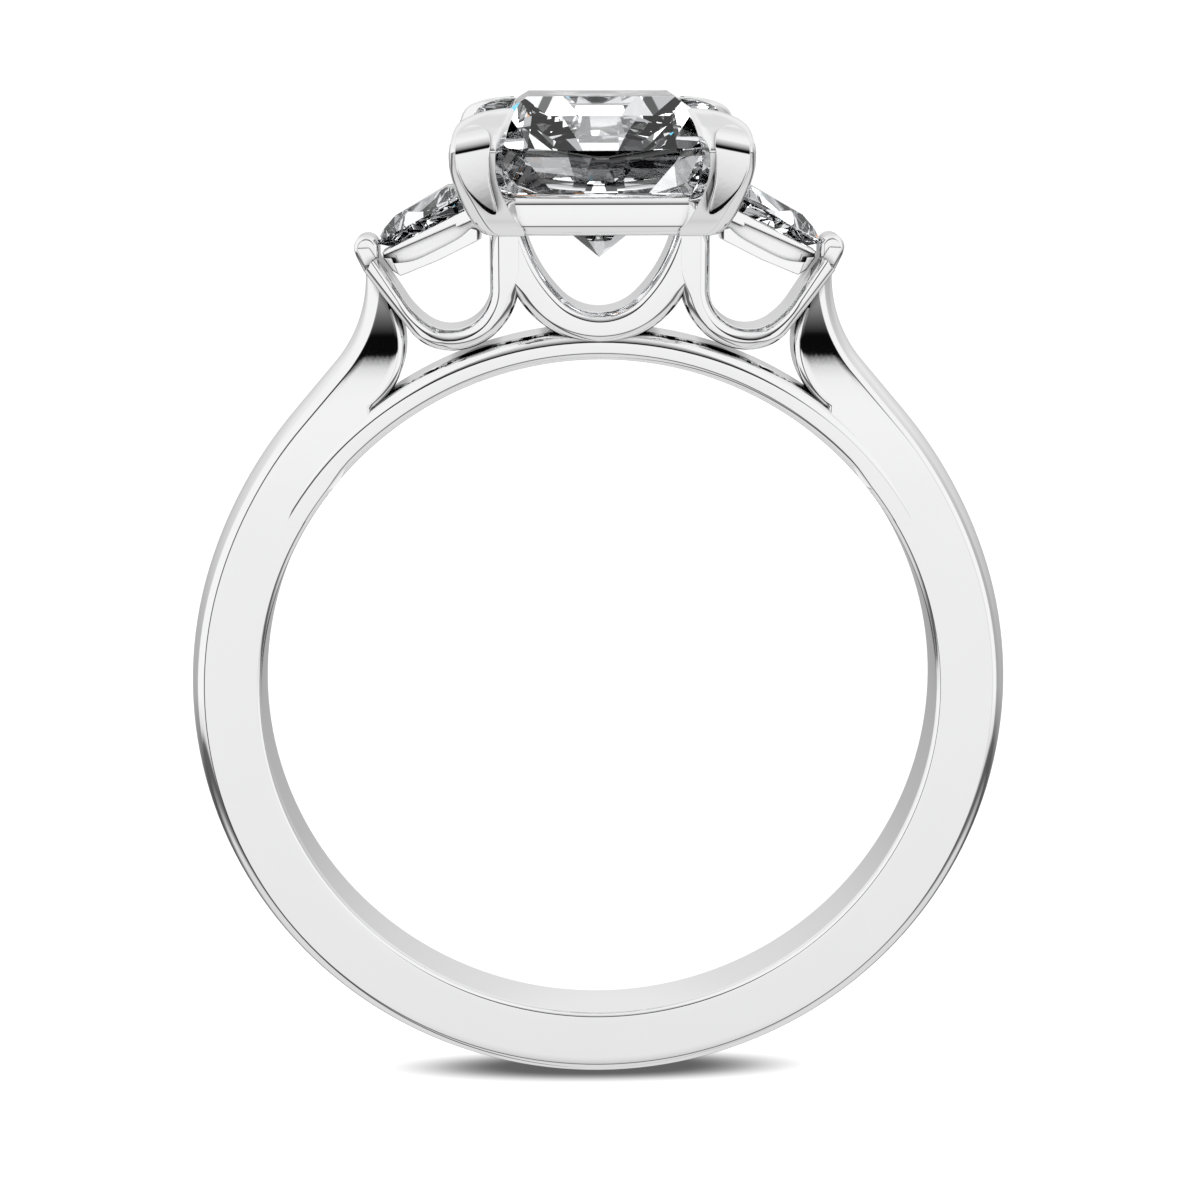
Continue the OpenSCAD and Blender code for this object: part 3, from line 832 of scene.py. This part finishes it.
class RING_OT_claws(bpy.types.Operator):
    """Models a wide corner claw with a shield on both fronts, and copies it to the four corners"""
    bl_idname = "ring.claws"
    bl_label = "Corner claws"

    def execute(self, context):
        deepen = sizes("ring_head")["deepen"]
        rows = through(CLAW_ROWS, 0.03)
        outline = smooth_path(SHIELD, 3, closed=True)
        sunk, proud = 0.12, 0.012  # how deep a shield is set in, and how far the side one stands out

        # The side shield is drawn facing forward, then turned to face across the ring
        side = shield("shield_side", outline, lambda x, y: read_off(rows, y, FAR_X) + proud,
                      lambda y: read_off(rows, y, FAR_X) - sunk, 1.0)
        for v in side.data.vertices:
            x, y, z = v.co
            v.co = (z, y, (x - (read_off(rows, y, FAR_X) - read_off(rows, y, FAR_Z))) * deepen)
        side.data.flip_normals()

        def resting(x, y):
            """The face of a rear shield, which is filed flat where the ring lies on it."""
            surface = (BORE["pos_m"][2] / MM + y * math.sin(LEAN)) / math.cos(LEAN) / deepen
            return min(shield_face(x, y), surface - 0.006)

        # The rear claws end a little higher than the front ones
        for end, face, taller in (("front", shield_face, 0.0), ("back", resting, 0.09)):
            raised = [(row[0] + taller * clipped((row[0] - 14.2) / 0.5), *row[1:]) for row in rows]
            claw = lofted(f"claw_{end}_right", [claw_section(row, deepen) for row in raised])
            side_shield = copied(side, "shield_side_" + end)
            front_shield = shield("shield_" + end, outline, face, lambda y: read_off(rows, y, FAR_Z) - sunk, deepen)
            join_into(claw, side_shield, front_shield)
            if end == "back":
                mirror(claw, ALONG)
            settle_metal(claw, mirror(copied(claw, f"claw_{end}_left"), ACROSS), crease=25)
        bpy.data.objects.remove(side)
        return {"FINISHED"}


# ---------------------------------------------------------------- the side baskets and outer claws

class RING_OT_side_baskets(bpy.types.Operator):
    """Models the basket below each side stone, with a boat-shaped recess in each long wall"""
    bl_idname = "ring.side_baskets"
    bl_label = "Side baskets"

    def execute(self, context):
        # Outlines of the right front wall: all of it, the rail above its recess and the keel below
        whole = [(5.38, 11.32), (5.36, 11.20), (5.14, 10.90), (4.92, 10.77), (3.95, 11.20), (2.9, 11.76),
                 (2.9, 12.58), (3.44, 12.36)]
        rail = [(5.39, 11.327), (5.33, 11.265), (3.53, 12.10), (3.53, 12.02), (3.0, 12.27), (3.0, 12.58),
                (3.44, 12.37)]
        curve = [(5.10, 11.08), (4.57, 11.18), (3.95, 11.485), (3.45, 11.77), (3.16, 12.02)]
        keel = ([(5.37, 11.204), (5.145, 11.203)] + smooth_path(curve, 5)
                + [(3.0, 11.98), (3.0, 11.71), (3.95, 11.20), (4.92, 10.77), (5.14, 10.90)])

        def wall_depth(x):
            """How far forward the long wall stands, by its distance from the middle of the ring."""
            return 0.5 + (5.3 - abs(x)) * 0.4545

        wall = join_into(*(plate("basket_" + name, outline[::-1], back, front, 0.03, follow=wall_depth)
                           for name, outline, back, front in (("wall", whole, -0.5, -0.15), ("rail", rail, -0.4, 0.0),
                                                              ("keel", keel, -0.4, -0.01))))
        for label in ("right", "left"):
            front = copied(wall, f"basket_{label}_front")
            if label == "left":
                mirror(front, ACROSS)
            settle_metal(front, mirror(copied(front, f"basket_{label}_back"), ALONG))
        bpy.data.objects.remove(wall)
        return {"FINISHED"}


class RING_OT_outer_claws(bpy.types.Operator):
    """Models the single claw at the tip of each side stone"""
    bl_idname = "ring.outer_claws"
    bl_label = "Outer claws"

    def execute(self, context):
        outline = ([(5.20, 10.78), (5.45, 10.40), (5.84, 10.86), (6.03, 11.25)] + arc((5.77, 11.45), 0.31, -15, 165, 14)
                   + [(5.47, 11.17)])
        panel = [(5.806, 11.02), (5.455, 11.081), (5.694, 11.459), (6.002, 11.443)]
        right = join_into(plate("right_outer_claw", outline, -0.56, 0.56, 0.12, segments=5),
                          plate("outer_claw_panels", panel, -0.60, 0.60, 0.012, segments=2))
        settle_metal(right, mirror(copied(right, "left_outer_claw"), ACROSS))
        return {"FINISHED"}


# ---------------------------------------------------------------- the stones

def cut_stone(name, low, high, facets):
    """A rough block, ground away plane by plane and closed each time."""
    clear_selection()
    low, high = Vector(low), Vector(high)
    bpy.ops.mesh.primitive_cube_add(size=1.0)
    obj = just_added(name)
    obj.data.transform(Matrix.Translation((low + high) / 2) @ Matrix.Diagonal((high - low).to_4d()))
    bpy.ops.object.mode_set(mode="EDIT")
    for point, normal in facets:
        bpy.ops.mesh.select_all(action="SELECT")
        bpy.ops.mesh.bisect(plane_co=point, plane_no=normal, use_fill=True, clear_outer=True, threshold=1e-5)
    bpy.ops.mesh.select_all(action="SELECT")
    bpy.ops.mesh.remove_doubles(threshold=2e-3)
    face_outwards()
    return obj


def facing(azimuth, slope):
    """The direction that a facet faces, sloping away by slope degrees; downwards if negative."""
    a, s = math.radians(azimuth), math.radians(abs(slope))
    return (math.sin(s) * math.cos(a), math.copysign(math.cos(s), slope), math.sin(s) * math.sin(a))


def facet(azimuth, reach, height, slope, middle=0.0):
    """A facet through a point at a reach from the stone's middle and a height."""
    a = math.radians(azimuth)
    return (middle + reach * math.cos(a), height, reach * math.sin(a)), facing(azimuth, slope)


class RING_OT_centre_stone(bpy.types.Operator):
    """Cuts the square centre stone with cut corners"""
    bl_idname = "ring.centre_stone"
    bl_label = "Centre stone"

    def execute(self, context):
        s = sizes("ring_stone")
        half, table, point = s["half"], s["table_height"], s["point_height"]
        corner = (2 * half - 0.92) / math.sqrt(2)
        girdle_low, girdle_high, step = 13.83, 13.98, 14.74
        sides, corners = (0, 90, 180, 270), (45, 135, 225, 315)

        def pair(azimuth, turn, reach, height, slope):
            """Two facets, turned to either side of a direction."""
            return [facet(azimuth + t, reach, height, slope) for t in (-turn, turn)]

        # The table, the girdle and the crown
        cuts = [((0, table, 0), UP)]
        for az in sides:
            cuts += [facet(az, half, girdle_low, 86.5), facet(az, half - 0.01, girdle_high, 48.2),
                     facet(az, 2.42, step, 33.3)]
        for az in corners:
            cuts += [facet(az, corner, 13.9, 90), facet(az, corner, girdle_high, 56), facet(az, 3.12, step, 40)]
            cuts += pair(az, 13, 3.19, 14.42, 50)
        # The pavilion, down to the point
        for az in sides:
            cuts += [facet(az, half, girdle_low, -50), facet(az, 0.0, point, -41)]
            cuts += pair(az, 17, 2.62, 13.18, -47)
            cuts += pair(az, 9, 1.55, 12.45, -42.5)
        for az in corners:
            cuts += [facet(az, corner, girdle_low, -52), facet(az, 0.0, point, -39)]
            cuts += pair(az, 10, 3.25, 13.46, -49)
            cuts += pair(az, 7, 2.1, 12.72, -42)
        stone = cut_stone("centre_stone_cut", (-3.3, 11.0, -3.3), (3.3, 15.3, 3.3), cuts)
        stone.data.transform(Matrix.Scale(sizes("ring_head")["deepen"], 4, ALONG))
        settle(stone, clear_stone("centre stone", 900.0, (13.81, 13.985)), "centre_stone", flat=True)
        return {"FINISHED"}


class RING_OT_side_stones(bpy.types.Operator):
    """Cuts the three-cornered side stones, one the mirror image of the other"""
    bl_idname = "ring.side_stones"
    bl_label = "Side stones"

    def execute(self, context):
        tilt, length, broad, middle = 29.3, 2.7, 1.5, 1.5
        # The rim as seen from above: u from the outer tip towards the head, v along the finger
        rim = [(0.0, 0.16), (0.45 * length, 0.60 * broad), (0.8 * length, 0.93 * broad), (0.94 * length, broad),
               (length, 0.86 * broad)]
        rim += [(u, -v) for u, v in reversed(rim)]
        cuts = [((0, 0.37, 0), UP)]  # the table
        for a, b in zip(rim[-1:] + rim, rim):
            # The girdle, crown and pavilion facets of a side, then a crown and a pavilion facet at its end
            u, v = (a[0] + b[0]) / 2, (a[1] + b[1]) / 2
            out_u, out_v = a[1] - b[1], b[0] - a[0]
            if out_u * (u - middle) + out_v * v < 0:
                out_u, out_v = -out_u, -out_v
            azimuth = math.degrees(math.atan2(out_v, out_u))
            for height, slope in ((0.0, 90), (0.03, 34), (-0.03, -44)):
                cuts.append(((u, height, v), facing(azimuth, slope)))
            azimuth, reach = math.degrees(math.atan2(b[1], b[0] - middle)), math.hypot(b[0] - middle, b[1])
            for height, slope in ((0.16, 24), (-0.30, -36)):
                inset = abs(height) / math.tan(math.radians(40)) * 0.9
                cuts.append(facet(azimuth, reach - inset, height, slope, middle))
        right = cut_stone("right_side_stone_cut", (-0.1, -0.85, -1.6), (2.8, 0.5, 1.6), cuts)
        right.data.transform(Matrix.Translation((5.5, 11.54, 0)) @ Matrix.Rotation(math.radians(-tilt), 4, "Z")
                             @ Matrix.Scale(-1, 4, ACROSS))
        right.data.flip_normals()
        left = mirror(copied(right, "left_side_stone_cut"), ACROSS)
        for stone, node in ((right, "right_side_stone"), (left, "left_side_stone")):
            settle(stone, clear_stone("side stone", 1500.0), node, flat=True)
        return {"FINISHED"}


# ---------------------------------------------------------------- the stage

# The camera, in the ring's own upright frame and in millimetres
EYE = Vector((-1.47, 17.83, 65.11))
ELEVATION, YAW = math.radians(13.36), math.radians(1.31)

# What the polished metal mirrors, by height above the ring's own horizon in degrees: a bright panel in front,
# with a dark frame round it, a white panel at the left, a grey wall at the right and a paler one behind.
FRONT = [(-90, .76), (-42, .76), (-36, .55), (-33, .12), (-27, .12), (-25, .70), (-23.5, .86), (-15, .92), (-8, .94),
         (-4, .98), (-2, .98), (-.7, .94), (-.3, .90), (.17, .74), (.45, .56), (.75, .28), (.93, .11), (1.05, .003),
         (6.9, .003), (7.5, .02), (9, .055), (11.5, .13), (13, .185), (16, .28), (21, .43), (25.5, .56), (30, .65),
         (38, .79), (51, .91), (60, .92), (78, .88), (90, .84)]
LEFT = [(-90, .76), (-36, .76), (-31, .30), (-27, .12), (-22, .12), (-19.5, .80), (-15, 1.0), (10, 1.0), (60, .97),
        (90, .81)]
RIGHT = [(-90, .76), (-36, .74), (-31, .40), (-26, .10), (-22, .12), (-18, .33), (-14, .42), (0, .46), (10, .52),
         (25, .72), (45, .93), (60, .90), (90, .81)]
BEHIND = [(-90, .76), (-37, .74), (-31, .35), (-26, .08), (-22, .12), (-18.5, .29), (-15, .44), (-12, .47), (-7, .51),
          (-1, .60), (5, .68), (12, .74), (18, .79), (22, .87), (36, .93), (46, .88), (56, .80), (66, .78), (78, .82),
          (90, .84)]
# What the stones let through: small panels, mostly black or white, and a few coloured ones
PANELS = [(0.0, (.003, .003, .004, 1)), (.34, (.06, .06, .065, 1)), (.46, (.50, .505, .51, 1)),
          (.60, (.85, .85, .86, 1)), (.70, (1.1, 1.1, 1.1, 1)), (.86, (2.2, 2.2, 2.2, 1)),
          (.978, (.16, .85, 1.2, 1)), (.992, (.9, .45, .2, 1))]
# The painted soft shadow on the floor, from the middle of the place where the band touches it outwards
FLOOR_PAINTED_SHADOW = [(0, .09), (.44, .11), (.5, .135), (.55, .18), (.61, .25), (.665, .33), (.72, .43), (.78, .55),
               (.83, .64), (.9, .76), (1.0, .9), (1.1, 1.0), (1.2, 1.0)]


def studio_light():
    """Soft studio light. Metal, stones and floor each get the part of the studio that they would be lit for."""
    world = bpy.data.worlds.new("studio")
    bpy.context.scene.world = world
    world.use_nodes = True
    tree = world.node_tree
    where = add_node(tree, "ShaderNodeTexCoord", -2300, 0).outputs["Generated"]
    up, across, ahead = (measured_along(tree, -2100, 200 - 200 * i, where, axis)
                         for i, axis in enumerate((UP, ACROSS, ALONG)))
    height = calculated(tree, -1700, 200, "DEGREES", calculated(tree, -1900, 200, "ARCSINE", up))
    turn = calculated(tree, -1700, -100, "DEGREES", calculated(tree, -1900, -100, "ARCTAN2", across, ahead))
    aside = calculated(tree, -1500, -100, "ABSOLUTE", turn)
    front, left, right, behind = (ramp(tree, -1100, 600 - 260 * i, height, stops, -90, 90)
                                  for i, stops in enumerate((FRONT, LEFT, RIGHT, BEHIND)))

    # The dark frame round the front panel, which ends a little above the horizon
    below = ramp(tree, -1100, -440, height, [(-90, 1), (6, 1), (10, 0), (90, 0)], -90, 90)
    left_edge = ramp(tree, -1100, -700, turn, [(-180, 1), (-27, 1), (-23, .10), (-14, .06), (180, .06)], -180, 180)
    right_edge = ramp(tree, -1100, -960, turn, [(-180, .7), (15, .7), (20, .85), (26, 1), (180, 1)], -180, 180)
    on_right = calculated(tree, -1100, -1160, "GREATER_THAN", turn, 0.0)
    edge = mixed(tree, -800, -700, on_right, left_edge, right_edge)
    edge = mixed(tree, -600, -600, below, (1.0, 1.0, 1.0, 1.0), edge)

    far_right = ramp(tree, -1100, -1300, turn, [(-180, 0), (60, 0), (70, 1), (180, 1)], -180, 180)
    sides = mixed(tree, -400, 0, 1.0, mixed(tree, -800, 200, far_right, left, right), edge, "MULTIPLY")
    at_rear = ramp(tree, -400, -300, aside, [(0, 0), (105, 0), (125, 1), (180, 1)], 0, 180)
    in_front = ramp(tree, -400, 400, aside, [(0, 1), (13, 1), (17, 0), (180, 0)], 0, 180)
    mirrored = mixed(tree, 50, 200, in_front, mixed(tree, -150, 0, at_rear, sides, behind), front)

    cells = add_node(tree, "ShaderNodeTexVoronoi", -1100, -1400, {"Vector": where, "Scale": 3.2}).outputs["Color"]
    pick = add_node(tree, "ShaderNodeSeparateColor", -900, -1400, {"Color": cells}).outputs["Red"]
    panels = ramp(tree, -650, -1400, pick, PANELS, stepped=True)

    path = add_node(tree, "ShaderNodeLightPath", -150, -500).outputs
    seen = mixed(tree, 250, 0, path["Is Transmission Ray"], mirrored, panels)
    seen = mixed(tree, 450, 0, path["Is Diffuse Ray"], seen, (1.9, 1.9, 1.9, 1.0))
    seen = mixed(tree, 650, 0, path["Is Camera Ray"], seen, (1.0, 1.0, 1.0, 1.0))
    background = tree.nodes["Background"]
    background.location, tree.nodes["World Output"].location = (850, 0), (1050, 0)
    feed(tree, background, {"Color": seen, "Strength": 1.0})


def floor_finish():
    """A plain pale floor, with a painted soft shadow below the band where the ring touches it."""
    mat, tree, shader = new_material("pale floor")
    where = add_node(tree, "ShaderNodeTexCoord", -1100, 0).outputs["Object"]
    place = add_node(tree, "ShaderNodeMapping", -900, 0, {
        "Vector": where, "Location": (0.0, -13.136 * MM, 0.0), "Scale": (5.8 * MM, 0.47 * MM, 1.0)},
        vector_type="TEXTURE").outputs["Vector"]
    reach = add_node(tree, "ShaderNodeVectorMath", -700, 0, {0: place}, operation="LENGTH").outputs["Value"]
    # Painted shadow: the floor's colour and its glow are darkened below the band.
    shade = ramp(tree, -400, 0, reach, FLOOR_PAINTED_SHADOW, 0, 1.2)
    tinted = mixed(tree, -100, 0, 1.0, bpy.context.scene.ring_finish.floor, shade, "MULTIPLY")
    feed(tree, shader, {"Base Color": tinted, "Roughness": 0.9, "Specular IOR Level": 0.0, "Emission Color": shade,
                        "Emission Strength": 0.95})
    return mat


class RING_OT_stage(bpy.types.Operator):
    """Adds the floor, the studio light and the camera"""
    bl_idname = "ring.stage"
    bl_label = "Stage"

    def execute(self, context):
        clear_selection()
        bpy.ops.mesh.primitive_plane_add(size=1.2, location=(0, 0, -0.02 * MM))
        floor = just_added("floor")
        floor.data.materials.append(floor_finish())
        floor.visible_glossy = floor.visible_transmission = False
        studio_light()

        lens = bpy.data.cameras.new("camera")
        lens.lens, lens.sensor_width = 78.0, 36.0
        lens.clip_start, lens.clip_end = 0.001, 10.0
        camera = bpy.data.objects.new("camera", lens)
        context.collection.objects.link(camera)
        look = ring_axis((math.sin(YAW) * math.cos(ELEVATION), -math.sin(ELEVATION),
                          -math.cos(YAW) * math.cos(ELEVATION)))
        right = ring_axis((math.cos(YAW), 0, math.sin(YAW)))
        turned = Matrix((right, right.cross(look), -look)).transposed().to_4x4()
        camera.matrix_world = Matrix.Translation(LAY @ (EYE * MM)) @ turned
        scene = context.scene
        scene.camera = camera
        scene.view_settings.view_transform = "Standard"
        scene.cycles.max_bounces = scene.cycles.glossy_bounces = scene.cycles.transmission_bounces = 12
        clear_selection()
        return {"FINISHED"}


# ---------------------------------------------------------------- the add-on

OPERATORS = (RING_OT_band, RING_OT_bridge, RING_OT_arches, RING_OT_head_frame, RING_OT_claws, RING_OT_side_baskets,
             RING_OT_outer_claws, RING_OT_centre_stone, RING_OT_side_stones, RING_OT_stage)
GROUPS = {"ring_band": BandSizes, "ring_gallery": GallerySizes, "ring_head": HeadSizes, "ring_stone": StoneSizes,
          "ring_finish": RingFinish}


class RING_PT_panel(bpy.types.Panel):
    """Lists the pieces of the ring"""
    bl_label = "Three-stone ring"
    bl_idname = "RING_PT_panel"
    bl_space_type = "VIEW_3D"
    bl_region_type = "UI"
    bl_category = "Ring"

    def draw(self, context):
        for name, group in GROUPS.items():
            box = self.layout.box()
            for key in group.__annotations__:
                box.prop(getattr(context.scene, name), key)
        for op in OPERATORS:
            self.layout.operator(op.bl_idname)


def register():
    for cls in (*GROUPS.values(), *OPERATORS, RING_PT_panel):
        bpy.utils.register_class(cls)
    for name, group in GROUPS.items():
        setattr(bpy.types.Scene, name, bpy.props.PointerProperty(type=group))


def unregister():
    for name in GROUPS:
        delattr(bpy.types.Scene, name)
    for cls in reversed((*GROUPS.values(), *OPERATORS, RING_PT_panel)):
        bpy.utils.unregister_class(cls)


def main():
    register()
    bpy.ops.ring.band()
    bpy.ops.ring.bridge()
    bpy.ops.ring.arches()
    bpy.ops.ring.head_frame()
    bpy.ops.ring.claws()
    bpy.ops.ring.side_baskets()
    bpy.ops.ring.outer_claws()
    bpy.ops.ring.centre_stone()
    bpy.ops.ring.side_stones()
    bpy.ops.ring.stage()
    bpy.context.view_layer.update()


if __name__ == "__main__":
    main()
